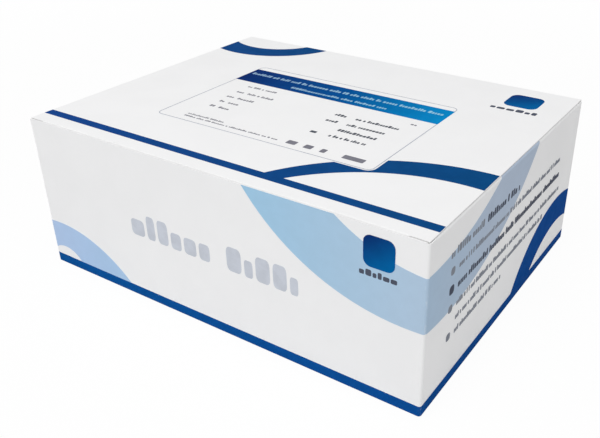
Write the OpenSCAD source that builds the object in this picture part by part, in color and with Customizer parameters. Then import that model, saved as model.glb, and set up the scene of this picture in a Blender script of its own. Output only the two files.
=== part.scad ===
// Folding carton of a rapid test kit, with the kit packed in it.
// A printed boxboard carton: four walls folded from one sheet, a glued bottom and a lid that tucks in at the front.
// The origin is under the middle of the carton, +X runs to the right along the front, +Y to the back, +Z up.

/* [Carton] */
// Outer length of the carton along its front
box_l = 229; // [205:1:260]
// Outer width of the carton from front to back
box_w = 178; // [170:1:210]
// Outer height of the carton with its lid closed
box_h = 85; // [80:1:110]
// Thickness of the boxboard
board_t = 0.5; // [0.35:0.05:0.65]
// Outside radius of a full fold
fold_r = 1.3; // [1:0.1:1.8]

/* [Lid] */
// Depth of the flap that tucks in behind the front wall
tuck_depth = 24; // [16:1:28]
// Radius of the tuck flap's two free corners
tuck_corner_r = 14; // [6:1:15]
// Outside radius of the tighter fold between lid and tuck flap
tuck_fold_r = 0.8; // [0.7:0.1:1.2]
// Length of the lock slit at each end of that fold
slit_l = 8; // [4:1:14]
// Set-back of the lid's side edges from the side walls' outer faces
lid_inset = 0.6; // [0.4:0.1:1.2]
// Radius of the crease bead that the lid turns on
bead_r = 0.45; // [0.4:0.05:0.6]
// Degrees that the tuck flap leans in beyond what its swing needs
spare_lean = 0.2; // [0:0.1:1]

/* [Flaps] */
// Length of the dust flaps that fold in from the side walls
dust_len = 46; // [30:1:58]
// Set-back of a dust flap from the front and rear walls
dust_setback = 5; // [4.5:0.5:10]
// Mitre along the free corners of a dust flap
dust_mitre = 12; // [4:1:16]
// Width of the glue flap inside the rear left corner
glue_w = 14; // [8:1:20]
// Height of the bottom's tuck flap, glued inside the front wall
bottom_flap_h = 20; // [12:1:30]

/* [Clearances] */
// Gap between the front wall and the tuck flap
tuck_gap = 0.3; // [0.2:0.05:0.5]
// Gap between the lid and what it lies on
lid_gap = 0.1; // [0.05:0.05:0.3]
// Gap between the packed pieces and the walls
pack_gap = 0.8; // [0.5:0.1:1.5]
// Gap under a piece that stands on another
seat_gap = 0.05; // [0.02:0.01:0.2]

/* [Print on the walls] */
// Thickness of a printed field of colour
ink_t = 0.06; // [0.04:0.01:0.1]
// Degrees that the walls' print runs over the folds to the dust flaps
ink_wrap = 60; // [30:5:80]
// Height of the dark band round the foot of the walls
base_band_h = 5.3; // [3:0.1:10]
// Lower edge of the pale band on the front: distance past the right fold, height of its centre, radius
front_low = [-7.2, 144.4, 101.7]; // [-200:0.1:200]
// Upper edge of the pale band on the front
front_high = [4.9, 147.6, 78.7]; // [-200:0.1:200]
// Lower edge of the pale band on the right wall: distance from the front fold, height of its centre, radius
side_low = [19.1, 167.3, 125.9]; // [-200:0.1:200]
// Upper edge of the pale band on the right wall
side_high = [8.5, 193.4, 124.3]; // [-200:0.1:200]
// Outer edge of the pale arc round the front left fold: distance from the fold, height of its centre, radius
left_outer = [8.5, -44.6, 70.7]; // [-200:0.1:200]
// Inner edge of the pale arc round the front left fold
left_inner = [8.6, -3, 14.2]; // [-200:0.1:200]
// Outer edge of the dark arc round the rear right fold: distance from the fold, height of its centre, radius
rear_outer = [-21.8, -37.2, 72.3]; // [-200:0.1:200]
// Inner edge of the dark arc round the rear right fold
rear_inner = [-18.3, -38.1, 56.6]; // [-200:0.1:200]

/* [Print on the lid] */
// Bare margin at the lid's printed edges
print_margin = 0.1; // [0.1:0.1:4]
// Distance of the lid's stripe from the carton's front
stripe_setback = 9; // [5:0.5:20]
// Width of the lid's stripe
stripe_w = 5.1; // [3:0.1:10]
// Outer edge of the lid's front arc: from the front right corner to its centre, then its radius
lid_arc_outer = [-1.8, -31.6, 97.7]; // [-200:0.1:200]
// Inner edge of the lid's front arc
lid_arc_inner = [-7.5, -36.8, 86.7]; // [-200:0.1:200]
// Outer edge of the lid's rear arc: from the rear left corner to its centre, then its radius
lid_rear_outer = [15.5, 15.4, 49.8]; // [-200:0.1:200]
// Inner edge of the lid's rear arc
lid_rear_inner = [17.6, 14.4, 33.2]; // [-200:0.1:200]
// Length of the label printed on the lid
label_l = 130; // [100:1:150]
// Width of the label printed on the lid
label_w = 89.2; // [70:0.2:110]
// Distance of the label's middle from the lid's middle, to the right and to the back
label_at = [-0.3, -4]; // [-20:0.1:20]
// Corner radius of the label
label_r = 3.5; // [1:0.5:8]
// Width of the label's border line
border_w = 0.45; // [0.3:0.05:1]
// Width of the label's header bar
header_w = 20.4; // [10:0.2:30]
// Distance of the header bar from the label's rear edge
header_setback = 5.1; // [2:0.1:12]
// Bare strip round the label, where an arc would cross it
label_clear = 0.8; // [0.4:0.1:3]

/* [Contents] */
// Number of tests in the kit: one pouch and one tube each
test_count = 20; // [12:1:20]
// Room over the pouches, up to the dust flaps
head_room = 14.8; // [8:0.2:20]
// Thickness of a pouch at its middle
pouch_t = 8; // [5:0.5:9]
// Width of the sealed margin round a pouch
seal_w = 9; // [6:0.5:12]
// Thickness of the sealed margin
seal_t = 0.5; // [0.4:0.1:0.8]
// Share of a pouch's belly that its flat crown takes
crown_share = 0.62; // [0.4:0.02:0.8]
// Depth of the tear notches in the sealed margin
notch_r = 2.2; // [1:0.2:3]
// Width of the rack that holds the tubes
rack_w = 44; // [36:1:50]
// Height of the rack that holds the tubes
rack_h = 44; // [30:1:44]
// Outer diameter of a buffer tube
tube_d = 9.5; // [8:0.5:10]
// Length of a buffer tube with its cap
tube_l = 62; // [54:1:68]
// Height of a tube's tapered foot
foot_h = 7.6; // [3:0.2:12]
// Diameter of the foot at its end
foot_d = 4.8; // [2:0.2:7]
// Outer diameter of a tube's cap
cap_d = 11.5; // [11:0.5:12]
// Height of the cap's gripped part
cap_h = 9; // [6:1:12]
// Chamfer round the top of the cap
cap_chamfer = 1; // [0.4:0.1:1.5]
// Length of the nozzle over the cap
nozzle_l = 6.6; // [3:0.2:10]
// Diameter of the nozzle where it leaves the cap
nozzle_d = 5; // [3:0.2:6]
// Diameter of the nozzle's tip
tip_d = 2.6; // [1.6:0.2:3]
// Gap round a tube in its hole
hole_gap = 0.35; // [0.2:0.05:0.8]
// Length of the folded leaflet
leaflet_l = 104; // [80:1:110]
// Width of the folded leaflet
leaflet_w = 74; // [50:1:100]
// Thickness of the folded leaflet
leaflet_t = 1.6; // [1:0.2:3]

/* [Hidden] */
$fn = 96;
// How far a flat runs into its fold, so that the two are one sheet
seam = 0.1;
// Half sizes of the carton
half_l = box_l / 2;
half_w = box_w / 2;
// Heights of the wall edges and fold lines
under_lid = box_h - board_t - lid_gap;
front_top = box_h - board_t / 2;
rear_top = box_h - 2 * bead_r - lid_gap;
dust_fold_z = under_lid - fold_r;
bottom_fold_z = board_t + fold_r;
floor_z = 2 * board_t;
// Lid: its half length, the line where it turns down and the line that it turns on
lid_half = half_l - lid_inset;
tuck_half = half_l - board_t - pack_gap;
tuck_y = -half_w + board_t + tuck_gap + tuck_fold_r;
hinge_y = half_w - bead_r;
hinge_z = box_h - bead_r;
// The tuck flap leans in, so that its free edge clears the front wall as the lid swings
swing_r = hinge_y - tuck_y;
tuck_lean = asin((tuck_depth + tuck_fold_r) / (2 * swing_r)) + spare_lean;
// Where the dust flaps start and end
dust_y0 = -half_w + dust_setback;
dust_y1 = half_w - dust_setback;
// Half sizes of the label
label_half = [label_l / 2, label_w / 2];
// The rack stands behind the front wall and its glued flap, from side to side
rack_y0 = -half_w + 2 * board_t + pack_gap;
rack_y1 = rack_y0 + rack_w;
rack_half = half_l - 2 * board_t - pack_gap;
// The tubes stand in it in two straight rows
pitch = 2 * rack_half / test_count;
row_y = [rack_y0 + rack_w / 4, rack_y1 - rack_w / 4];
// The pouches fill the rest of the width, on their long edges and in a row from side to side
pouch_y0 = rack_y1 + pack_gap;
pouch_y1 = half_w - board_t - pack_gap;
pouch_l = pouch_y1 - pouch_y0;
pouch_z0 = floor_z + seat_gap;
pouch_h = under_lid - board_t - head_room - pouch_z0;

function two_digits(i) = i < 10 ? str("0", i) : str(i);
function pouch_x(i) = (i - (test_count + 1) / 2) * pitch;
function tube_x(i) = (2 * ceil(i / 2) - test_count / 2 - 1) * pitch;
function tube_y(i) = row_y[i % 2];

// Plain building shapes

// Box from its low corner to its high corner
module block(lo, hi) {
    translate(lo) cube(hi - lo);
}

// Rectangle about the origin with round corners
module rounded(size, r) {
    square([size[0] - 2 * r, size[1]], center = true);
    square([size[0], size[1] - 2 * r], center = true);
    for (sx = [-1, 1], sy = [-1, 1])
        translate([sx * (size[0] / 2 - r), sy * (size[1] / 2 - r)]) circle(r);
}

// Part of a ring between two angles: the section of a folded sheet
module bend(r_out, thick, a0, a1) {
    far = 2 * r_out;
    mid = (a0 + a1) / 2;
    intersection() {
        difference() {
            circle(r_out);
            circle(r_out - thick);
        }
        polygon([[0, 0], far * [cos(a0), sin(a0)], far * [cos(mid), sin(mid)], far * [cos(a1), sin(a1)]]);
    }
}

// Runs a section drawn in Y and Z along X
module along_x(x0, x1) {
    translate([x0, 0, 0]) rotate([90, 0, 90]) linear_extrude(x1 - x0) children();
}

// Runs a section drawn in X and Z along Y
module along_y(y0, y1) {
    translate([0, y1, 0]) rotate([90, 0, 0]) linear_extrude(y1 - y0) children();
}

// The carton

// Plan of the four walls, with a round fold at each corner
module wall_plan() {
    difference() {
        rounded([box_l, box_w], fold_r);
        rounded([box_l - 2 * board_t, box_w - 2 * board_t], fold_r - board_t);
    }
}

// Plan of the walls between two distances from the middle
module wall_strip(y0, y1) {
    intersection() {
        wall_plan();
        translate([-half_l, y0]) square([box_l, y1 - y0]);
    }
}

module front_wall() {
    linear_extrude(under_lid) wall_strip(-half_w, -half_w + fold_r);
    block([-half_l + fold_r, -half_w, under_lid], [half_l - fold_r, -half_w + board_t, front_top]);
}

module rear_wall() {
    translate([0, 0, fold_r]) linear_extrude(rear_top - fold_r) wall_strip(half_w - fold_r, half_w);
}

// One side wall, with the folds into its two dust flaps and a square shoulder beside each
module side_wall() {
    inner = half_w - fold_r;
    block([half_l - board_t, -inner, bottom_fold_z], [half_l, inner, dust_fold_z]);
    for (span = [[-inner, dust_y0], [dust_y1, inner]]) {
        block([half_l - board_t, span[0], dust_fold_z], [half_l, span[1], under_lid]);
        block([half_l - board_t, span[0], board_t], [half_l, span[1], bottom_fold_z]);
    }
    along_y(dust_y0, dust_y1) {
        translate([half_l - fold_r, dust_fold_z]) bend(fold_r, board_t, 0, 90);
        translate([half_l - fold_r, bottom_fold_z]) bend(fold_r, board_t, -90, 0);
    }
    translate([0, 0, under_lid - board_t]) dust_flap();
    translate([0, 0, board_t]) dust_flap();
}

// Flap on the right, lying flat from its fold to its free edge
module dust_flap() {
    root = half_l - fold_r;
    tip = half_l - dust_len;
    linear_extrude(board_t) polygon([
        [root, dust_y0], [root, dust_y1],
        [tip + dust_mitre, dust_y1], [tip, dust_y1 - dust_mitre],
        [tip, dust_y0 + dust_mitre], [tip + dust_mitre, dust_y0]
    ]);
}

// Bottom panel, folded from the rear wall and glued up behind the front wall
module bottom() {
    tuck_bottom_y = -half_w + board_t + tuck_fold_r;
    block([-lid_half, tuck_bottom_y, 0], [lid_half, half_w - fold_r, board_t]);
    along_x(-half_l + fold_r, half_l - fold_r)
        translate([half_w - fold_r, fold_r]) bend(fold_r, board_t, -90, 0);
    along_x(-tuck_half, tuck_half) {
        translate([tuck_bottom_y, tuck_fold_r]) bend(tuck_fold_r, board_t, 180, 270);
        translate([-half_w + board_t, tuck_fold_r]) square([board_t, bottom_flap_h - tuck_fold_r]);
    }
}

// Flap glued inside the left wall at the rear corner, with mitred ends
module glue_flap() {
    low = bottom_fold_z + board_t;
    high = dust_fold_z - board_t;
    edge = half_w - board_t;
    along_x(-half_l + board_t, -half_l + 2 * board_t) polygon([
        [edge, low], [edge, high],
        [edge - glue_w, high - glue_w / 2], [edge - glue_w, low + glue_w / 2]
    ]);
}

module carton_body() {
    color("white") {
        front_wall();
        rear_wall();
        side_wall();
        mirror([1, 0, 0]) side_wall();
        bottom();
        glue_flap();
    }
}

// Outline of the tuck flap seen from the front, with round free corners
module tuck_outline() {
    low = box_h - tuck_fold_r - tuck_depth;
    difference() {
        translate([-tuck_half, low]) square([2 * tuck_half, box_h - low]);
        for (side = [-1, 1])
            translate([side * tuck_half, low]) difference() {
                square(2 * tuck_corner_r, center = true);
                translate([-side * tuck_corner_r, tuck_corner_r]) circle(tuck_corner_r);
            }
    }
}

// Section of the fold and the leaning flap
module tuck_section() {
    translate([tuck_y, box_h - tuck_fold_r]) {
        bend(tuck_fold_r, board_t, 90, 180 + tuck_lean);
        rotate(tuck_lean) translate([-tuck_fold_r, -tuck_depth]) square([board_t, tuck_depth + seam]);
    }
}

module lid() {
    slit_x = tuck_half - slit_l;
    color("white") {
        block([-lid_half, tuck_y, box_h - board_t], [lid_half, hinge_y, box_h]);
        along_x(-lid_half, lid_half) translate([hinge_y, hinge_z]) circle(bead_r);
        // Straight shoulders of the lid beyond the lock slits
        for (side = [0, 1]) mirror([side, 0, 0])
            block([slit_x, tuck_y - tuck_fold_r, box_h - board_t], [lid_half, tuck_y, box_h]);
        difference() {
            intersection() {
                along_x(-tuck_half, tuck_half) tuck_section();
                along_y(-half_w, 0) tuck_outline();
            }
            for (side = [0, 1]) mirror([side, 0, 0])
                block([slit_x, -half_w, box_h - tuck_fold_r - lid_gap], [half_l, 0, box_h]);
        }
    }
}

// Print on the walls, drawn on each wall as seen from outside, with x from its left fold and y up

// Disc given by its centre and radius
module disc(c) {
    translate([c[0], c[1]]) circle(c[2]);
}

// What lies inside the first disc and outside the second, placed from a fold
module arc_band(fold, outer, inner) {
    translate([fold, 0]) difference() {
        disc(outer);
        disc(inner);
    }
}

module base_band(length) {
    translate([-fold_r, 0]) square([length + 2 * fold_r, base_band_h]);
}

// Skin of ink over the walls, the corner folds and the side walls' upper folds
module ink_skin() {
    linear_extrude(dust_fold_z) ink_plan();
    translate([0, 0, dust_fold_z]) linear_extrude(under_lid - dust_fold_z) intersection() {
        ink_plan();
        translate([-box_l, -box_w]) square([2 * box_l, box_w + dust_y0]);
    }
    block([-half_l + fold_r, -half_w - ink_t, under_lid], [half_l - fold_r, -half_w, front_top]);
    for (side = [0, 1]) mirror([side, 0, 0])
        along_y(dust_y0, dust_y1)
            translate([half_l - fold_r, dust_fold_z]) bend(fold_r + ink_t, ink_t, 0, ink_wrap);
}

module ink_plan() {
    difference() {
        rounded([box_l + 2 * ink_t, box_w + 2 * ink_t], fold_r + ink_t);
        rounded([box_l, box_w], fold_r);
    }
}

// Carries a drawing onto the front wall and its two corner folds
module on_front() {
    along_y(-half_w - fold_r, -half_w + fold_r) translate([-half_l, 0]) children();
}

module on_back() {
    along_y(half_w - fold_r, half_w + fold_r) mirror([1, 0]) translate([-half_l, 0]) children();
}

// Carries a drawing onto the flat of the right wall
module on_right() {
    along_x(half_l - fold_r, half_l + fold_r) intersection() {
        translate([-half_w, 0]) children();
        translate([-half_w + fold_r, 0]) square([box_w - 2 * fold_r, box_h]);
    }
}

module on_left() {
    mirror([1, 0, 0]) along_x(half_l - fold_r, half_l + fold_r) intersection() {
        mirror([1, 0]) translate([-half_w, 0]) children();
        translate([-half_w + fold_r, 0]) square([box_w - 2 * fold_r, box_h]);
    }
}

module dark_on_side(length, fold) {
    base_band(length);
    arc_band(fold, rear_outer, rear_inner);
}

module wall_bands_dark() {
    color("midnightblue") intersection() {
        ink_skin();
        union() {
            on_front() base_band(box_l);
            on_left() base_band(box_w);
            on_right() dark_on_side(box_w, box_w);
            on_back() dark_on_side(box_l, 0);
        }
    }
}

module wall_bands_pale() {
    color("lightsteelblue") intersection() {
        ink_skin();
        union() {
            on_front() difference() {
                union() {
                    arc_band(box_l, front_low, front_high);
                    arc_band(0, left_outer, left_inner);
                }
                base_band(box_l);
            }
            on_right() difference() {
                arc_band(0, side_low, side_high);
                dark_on_side(box_w, box_w);
            }
            on_left() difference() {
                arc_band(box_w, left_outer, left_inner);
                base_band(box_w);
            }
        }
    }
}

// Print on the lid, seen from above

module label_plan(grow) {
    translate(label_at) rounded(2 * label_half + 2 * [grow, grow], label_r + grow);
}

module header_plan() {
    translate(label_at + [-label_half[0], label_half[1] - header_setback - header_w])
        square([label_l, header_w]);
}

module lid_bands() {
    stripe_y = -half_w + stripe_setback;
    edge = [lid_half - print_margin, hinge_y - print_margin];
    color("midnightblue") translate([0, 0, box_h]) linear_extrude(ink_t) difference() {
        intersection() {
            translate([-edge[0], stripe_y]) square([2 * edge[0], edge[1] - stripe_y]);
            union() {
                translate([-edge[0], stripe_y]) square([2 * edge[0], stripe_w]);
                translate([half_l, -half_w]) arc_band(0, lid_arc_outer, lid_arc_inner);
                translate([-half_l, half_w]) arc_band(0, lid_rear_outer, lid_rear_inner);
            }
        }
        label_plan(label_clear);
    }
}

module label_header() {
    color("steelblue") translate([0, 0, box_h]) linear_extrude(ink_t) header_plan();
}

module label_border() {
    color("silver") translate([0, 0, box_h]) linear_extrude(ink_t) difference() {
        label_plan(0);
        label_plan(-border_w);
        header_plan();
    }
}

// The kit packed in the carton

// Foil pouch with a sealed margin, notched for tearing, and a belly over the test inside
module pouch(i) {
    belly = [pouch_l - 2 * seal_w, pouch_h - 2 * seal_w];
    crown = belly * crown_share;
    color("gainsboro") translate([pouch_x(i), (pouch_y0 + pouch_y1) / 2, pouch_z0 + pouch_h / 2]) {
        along_x(-seal_t / 2, seal_t / 2) difference() {
            square([pouch_l, pouch_h], center = true);
            for (side = [-1, 1])
                translate([side * pouch_l / 2, pouch_h / 2 - seal_w]) circle(notch_r, $fn = 4);
        }
        hull() {
            along_x(-seal_t / 2, seal_t / 2) rounded(belly, seal_w / 2, $fn = 16);
            along_x(-pouch_t / 2, pouch_t / 2) rounded(crown, seal_w / 2, $fn = 16);
        }
    }
}

// Sealed dropper tube of buffer: a tapered foot, a straight barrel and a gripped cap with a short nozzle
module buffer_tube(i) {
    nozzle_z = tube_l - nozzle_l;
    cap_z = nozzle_z - cap_h;
    color("lightblue") translate([tube_x(i), tube_y(i), floor_z + seat_gap])
        rotate_extrude() polygon([
            [0, 0], [foot_d / 2, 0], [tube_d / 2, foot_h], [tube_d / 2, cap_z],
            [cap_d / 2, cap_z], [cap_d / 2, nozzle_z - cap_chamfer],
            [cap_d / 2 - cap_chamfer, nozzle_z],
            [nozzle_d / 2, nozzle_z], [tip_d / 2, tube_l], [0, tube_l]
        ]);
}

// Rack folded from board: a deck with a hole for each tube, and a skirt down each long side
module tube_rack() {
    low = floor_z + seat_gap;
    high = floor_z + rack_h;
    color("whitesmoke") difference() {
        along_x(-rack_half, rack_half) {
            translate([rack_y0, low]) square([board_t, high - fold_r - low]);
            translate([rack_y1 - board_t, low]) square([board_t, high - fold_r - low]);
            translate([rack_y0 + fold_r, high - fold_r]) bend(fold_r, board_t, 90, 180);
            translate([rack_y1 - fold_r, high - fold_r]) bend(fold_r, board_t, 0, 90);
            translate([rack_y0 + fold_r, high - board_t])
                square([rack_y1 - rack_y0 - 2 * fold_r, board_t]);
        }
        for (i = [1:test_count])
            translate([tube_x(i), tube_y(i), high - 2 * board_t])
                cylinder(r = tube_d / 2 + hole_gap, h = 3 * board_t);
    }
}

// Instruction leaflet, folded to a pad that lies on the pouches, its spine to the rear
module leaflet() {
    low = pouch_z0 + pouch_h + seat_gap;
    rear = pouch_y1 - seal_w;
    r = leaflet_t / 2;
    color("white") along_x(0, leaflet_l) {
        translate([rear - leaflet_w, low]) square([leaflet_w - r, leaflet_t]);
        translate([rear - r, low + r]) circle(r);
    }
}

carton_body();
lid();
wall_bands_pale();
wall_bands_dark();
lid_bands();
label_header();
label_border();
tube_rack();
leaflet();
for (i = [1:test_count]) {
    pouch(i);
    buffer_tube(i);
}
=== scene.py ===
import math

import bmesh
import bpy
from mathutils import Euler, Matrix, Vector


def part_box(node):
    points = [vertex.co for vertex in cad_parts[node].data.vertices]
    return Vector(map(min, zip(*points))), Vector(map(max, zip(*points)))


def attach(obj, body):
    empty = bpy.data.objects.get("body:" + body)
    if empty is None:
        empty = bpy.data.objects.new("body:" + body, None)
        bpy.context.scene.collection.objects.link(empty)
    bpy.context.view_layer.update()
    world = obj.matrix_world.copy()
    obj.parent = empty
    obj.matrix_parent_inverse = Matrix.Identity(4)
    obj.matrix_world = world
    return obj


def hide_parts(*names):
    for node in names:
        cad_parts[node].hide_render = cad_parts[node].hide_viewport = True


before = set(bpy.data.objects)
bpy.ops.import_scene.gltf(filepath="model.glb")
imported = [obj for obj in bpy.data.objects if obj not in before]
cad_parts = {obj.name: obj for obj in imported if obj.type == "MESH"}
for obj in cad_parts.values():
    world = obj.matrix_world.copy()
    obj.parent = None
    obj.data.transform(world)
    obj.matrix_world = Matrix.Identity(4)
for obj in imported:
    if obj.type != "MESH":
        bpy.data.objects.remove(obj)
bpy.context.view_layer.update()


# Carton body
# One sheet of 0.5 mm boxboard, die-cut, creased and folded round, its bottom and side seam glued.
# The outside is clay-coated white with a satin varnish. Inside and at the cut edges the greyish
# fibres of the board show.
MM = 0.001
half_l, half_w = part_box("carton_body")[1].x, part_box("carton_body")[1].y
carton_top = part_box("lid")[1].z
fold_r = 1.3 * MM
flap_top = carton_top - 0.6 * MM
flap_setback = 5 * MM
coat_depth = 0.46 * MM
coat_fades, coat_ends = 0.93 * coat_depth, 1.07 * coat_depth


def wire(tree, kind, inputs=None, output=None, **settings):
    """Adds a node, feeds its inputs with values or other nodes' outputs, and returns one output."""
    made = tree.nodes.new(kind)
    for name, value in settings.items():
        setattr(made, name, value)
    for key, value in (inputs or {}).items():
        if isinstance(key, str):
            socket = next(s for s in made.inputs if s.name == key and s.enabled)
        else:
            socket = made.inputs[key]
        if isinstance(value, bpy.types.NodeSocket):
            tree.links.new(value, socket)
        else:
            socket.default_value = value
    if output:
        return made.outputs[output]
    return next((s for s in made.outputs if s.enabled), None)


def reckon(tree, operation, *values):
    return wire(tree, "ShaderNodeMath", dict(enumerate(values)), operation=operation)


def reckon_vector(tree, operation, *values):
    inputs = dict(enumerate(values))
    output = "Value" if operation in ("LENGTH", "DOT_PRODUCT") else "Vector"
    return wire(tree, "ShaderNodeVectorMath", inputs, output, operation=operation)


def rise(tree, value, low, high, start=0.0, end=1.0):
    """Goes smoothly from start to end while the value goes from low to high."""
    inputs = {"Value": value, "From Min": low, "From Max": high, "To Min": start, "To Max": end}
    return wire(tree, "ShaderNodeMapRange", inputs, interpolation_type="SMOOTHSTEP")


def parts_of(tree, vector):
    """A vector's parts, by their names X, Y and Z."""
    return wire(tree, "ShaderNodeSeparateXYZ", {0: vector}, "X").node.outputs


def mix(tree, share, first, second):
    return wire(tree, "ShaderNodeMix", {"Factor": share, "A": first, "B": second}, data_type="RGBA")


def noise(tree, place, scale, detail=2.0, rough=0.5, stretch=(1.0, 1.0, 1.0)):
    spread = wire(tree, "ShaderNodeMapping", {"Vector": place, "Scale": stretch})
    inputs = {"Vector": spread, "Scale": scale, "Detail": detail, "Roughness": rough}
    return wire(tree, "ShaderNodeTexNoise", inputs)


def blotches(tree, pattern, start=0.0, end=1.0):
    """The middle of a noise pattern's range, drawn out to go from start to end."""
    return rise(tree, pattern, 0.3, 0.7, start, end)


def new_finish(name):
    """An empty material, its node tree and the place on the piece that its patterns read."""
    finish = bpy.data.materials.new(name)
    finish.use_nodes = True
    finish.node_tree.nodes.clear()
    place = wire(finish.node_tree, "ShaderNodeTexCoord", output="Object")
    return finish, finish.node_tree, place


def bump(tree, height, strength, distance):
    return wire(tree, "ShaderNodeBump", {"Height": height, "Strength": strength, "Distance": distance})


def shade(tree, colour, roughness, normal, **sockets):
    """Ends a material in one Principled shader, with sockets given by their names in lower case."""
    inputs = {"Base Color": colour, "Roughness": roughness, "Normal": normal}
    for name, value in sockets.items():
        inputs[name.replace("_", " ").title().replace("Ior", "IOR")] = value
    shader = wire(tree, "ShaderNodeBsdfPrincipled", inputs)
    wire(tree, "ShaderNodeOutputMaterial", {"Surface": shader})


def coated_outside_of_body(tree, place):
    """1 on the coated outside of the walls, bottom and dust flaps, and 0 on the board's back."""
    middle = (0, 0, flap_top / 2)
    inner = (half_l - fold_r, half_w - fold_r, flap_top / 2 - fold_r)
    past = reckon_vector(tree, "SUBTRACT", place, middle)
    past = reckon_vector(tree, "SUBTRACT", reckon_vector(tree, "ABSOLUTE", past), inner)
    split = parts_of(tree, past)
    # The front and rear walls end in a cut edge, so the top counts only between the dust flaps' ends
    at_wall = reckon(tree, "GREATER_THAN", split["Y"], fold_r - flap_setback)
    up = reckon(tree, "SUBTRACT", split["Z"], at_wall)
    past = wire(tree, "ShaderNodeCombineXYZ", {"X": split["X"], "Y": split["Y"], "Z": up})
    outside = reckon_vector(tree, "LENGTH", reckon_vector(tree, "MAXIMUM", past, (0, 0, 0)))
    widest = reckon(tree, "MAXIMUM", reckon(tree, "MAXIMUM", split["X"], split["Y"]), up)
    inside = reckon(tree, "MINIMUM", widest, 0.0)
    depth = reckon(tree, "SUBTRACT", fold_r, reckon(tree, "ADD", outside, inside))
    return rise(tree, depth, coat_fades, coat_ends, 1.0, 0.0)


def dulled(colour, share):
    return [part * share for part in colour[:3]] + [1]


def boxboard(name, coated_outside):
    """Board that is coated and varnished where the mask says, and bare fibre elsewhere."""
    finish, tree, place = new_finish(name)
    coated = coated_outside(tree, place)
    clouds = noise(tree, place, 45, 3)
    fibres = noise(tree, place, 1100, 5, 0.65, (1, 0.35, 1))
    specks = noise(tree, place, 1600, 2)
    white = (0.9, 0.9, 0.905, 1)
    pale_fibre, dark_fibre = (0.62, 0.605, 0.575, 1), (0.55, 0.535, 0.505, 1)
    speck = (0.4, 0.38, 0.35, 1)
    white_side = mix(tree, blotches(tree, clouds), white, dulled(white, 0.985))
    grey_side = mix(tree, blotches(tree, fibres), pale_fibre, dark_fibre)
    grey_side = mix(tree, rise(tree, specks, 0.66, 0.72), grey_side, speck)
    colour = mix(tree, coated, grey_side, white_side)
    roughness = reckon(tree, "ADD", rise(tree, coated, 0, 1, 0.88, 0.36), blotches(tree, clouds, 0, 0.05))
    relief = reckon(tree, "MULTIPLY", fibres, rise(tree, coated, 0, 1, 1.0, 0.12))
    shade(tree, colour, roughness, bump(tree, relief, 0.35, 0.06 * MM), specular_ior_level=0.2)
    return finish


def dress(node, finish):
    """Gives a CAD node its finish."""
    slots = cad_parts[node].data.materials
    slots.clear()
    slots.append(finish)


dress("carton_body", boxboard("folded_boxboard", coated_outside_of_body))


# Lid
# The same sheet runs on over the rear crease as the lid, and turns down at the front into the tuck
# flap. Its top carries the coating; its underside and the flap's inner side are bare board.
tuck_fold_r = 0.8 * MM
tuck_fold_y = -half_w + 1.6 * MM
tuck_fold_z = carton_top - tuck_fold_r
tuck_lean = math.radians(4.24)


def coated_outside_of_lid(tree, place):
    """Works from how far a point lies from the fold's axis and from the lines that it draws out."""
    split = parts_of(tree, place)
    back = reckon(tree, "SUBTRACT", split["Y"], tuck_fold_y)
    up = reckon(tree, "SUBTRACT", split["Z"], tuck_fold_z)
    panel = reckon(tree, "ADD", reckon(tree, "ABSOLUTE", up), reckon(tree, "LESS_THAN", back, 0.0))
    sway, drop = math.sin(tuck_lean), -math.cos(tuck_lean)
    along = reckon(tree, "ADD", reckon(tree, "MULTIPLY", back, sway), reckon(tree, "MULTIPLY", up, drop))
    along = reckon(tree, "MAXIMUM", along, 0.0)
    off_y = reckon(tree, "SUBTRACT", back, reckon(tree, "MULTIPLY", along, sway))
    off_z = reckon(tree, "SUBTRACT", up, reckon(tree, "MULTIPLY", along, drop))
    flap = reckon_vector(tree, "LENGTH", wire(tree, "ShaderNodeCombineXYZ", {"X": off_y, "Y": off_z}))
    reach = reckon(tree, "MINIMUM", panel, flap)
    return rise(tree, reach, tuck_fold_r - coat_ends, tuck_fold_r - coat_fades)


dress("lid", boxboard("lid_boxboard", coated_outside_of_lid))


# Bands on the walls
# Offset print under the varnish: a solid dark blue foot band and arc, and paler arcs in a halftone
# tint. Where the bands run round an upright corner fold the print is whitened a little, partly as ink
# rubbed thin and partly as a painted highlight of the fold.
def ink(red, green, blue):
    """A printer's swatch, given as a screen shows it from 0 to 255, as the colour that shaders use."""
    swatch = []
    for part in (red, green, blue):
        part /= 255
        swatch.append(part / 12.92 if part <= 0.04045 else ((part + 0.055) / 1.055) ** 2.4)
    return (*swatch, 1.0)


def fold_highlight_and_rub(tree, place):
    """Up to 1 where the print crosses one of the four upright folds, broken up by noise: partly ink rubbed
    thin, partly a painted highlight.
    """
    folds = (half_l - fold_r, half_w - fold_r, 0)
    past = reckon_vector(tree, "SUBTRACT", reckon_vector(tree, "ABSOLUTE", place), folds)
    split = parts_of(tree, past)
    corner = rise(tree, reckon(tree, "MINIMUM", split["X"], split["Y"]), 0.0, 0.5 * fold_r)
    broken_up = rise(tree, noise(tree, place, 900, 4, 0.7, (1, 1, 0.3)), 0.5, 0.75)
    return reckon(tree, "MULTIPLY", corner, broken_up)


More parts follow.
